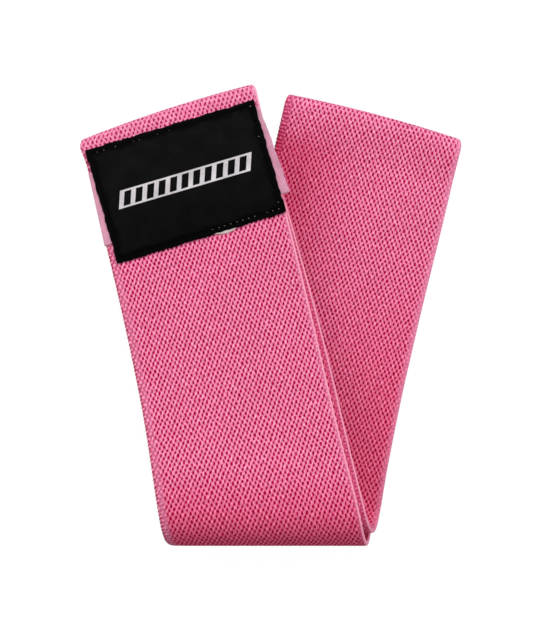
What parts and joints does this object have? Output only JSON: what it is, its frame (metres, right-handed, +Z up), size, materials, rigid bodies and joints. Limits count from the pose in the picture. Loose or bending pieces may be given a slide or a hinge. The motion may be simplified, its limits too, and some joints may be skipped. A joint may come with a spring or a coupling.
{
  "type": "fabric resistance loop band",
  "caption": "Closed loop of woven elastic webbing, pressed flat and folded once into a narrow V, with a sewn black label and a seam tape.",
  "frame": {"origin": "middle of the plan box, on the table that the rear leg lies on", "axes": "+Y from the fold to the legs' ends, +X towards the rear leg's side of the V, +Z up from the table"},
  "size_m": [0.1584, 0.1912, 0.03],
  "materials": {
    "face_cloth": "woven elastic, matte",
    "lining_cloth": "woven elastic back, matte",
    "selvedge": "ribbed woven edge",
    "rubber": "natural latex thread",
    "grip": "soft tacky rubber",
    "seam_tape": "thin plain-woven tape",
    "seam_thread": "spun polyester thread",
    "label_backing": "white non-woven backing",
    "label_cloth": "black satin-woven label",
    "label_thread": "black polyester thread",
    "label_motif": "light grey woven figure"
  },
  "bodies": {
    "rear_half": {"rear_face_cloth": "face_cloth", "rear_lining_cloth": "lining_cloth", "rear_left_selvedge": "selvedge", "rear_right_selvedge": "selvedge", "rear_rubber_1": "rubber", "rear_rubber_2": "rubber", "rear_rubber_3": "rubber", "rear_rubber_4": "rubber", "rear_rubber_5": "rubber", "rear_left_grip": "grip", "rear_right_grip": "grip"},
    "front_half": {"front_outer_face_cloth": "face_cloth", "front_outer_lining_cloth": "lining_cloth", "front_outer_left_selvedge": "selvedge", "front_outer_right_selvedge": "selvedge", "front_outer_rubber_1": "rubber", "front_outer_rubber_2": "rubber", "front_outer_rubber_3": "rubber", "front_outer_rubber_4": "rubber", "front_outer_rubber_5": "rubber", "front_outer_left_grip": "grip", "front_outer_right_grip": "grip", "front_inner_face_cloth": "face_cloth", "front_inner_lining_cloth": "lining_cloth", "front_inner_left_selvedge": "selvedge", "front_inner_right_selvedge": "selvedge", "front_inner_rubber_1": "rubber", "front_inner_rubber_2": "rubber", "front_inner_rubber_3": "rubber", "front_inner_rubber_4": "rubber", "front_inner_rubber_5": "rubber", "front_inner_left_grip": "grip", "front_inner_right_grip": "grip", "seam_tape_outer": "seam_tape", "seam_tape_inner": "seam_tape", "seam_stitch_upper": "seam_thread", "seam_stitch_lower": "seam_thread", "label_backing": "label_backing", "label_cloth": "label_cloth", "label_stitch_top": "label_thread", "label_stitch_bottom": "label_thread", "label_stitch_left": "label_thread", "label_stitch_right": "label_thread", "label_motif": "label_motif"}
  },
  "joints": [
    {"name": "fold_hinge", "type": "hinge", "parent": "rear_half", "child": "front_half", "pos_m": [0.0001, -0.09665, 0.015], "axis": [1, 0, 0], "range_deg": [0, 178]}
  ]
}
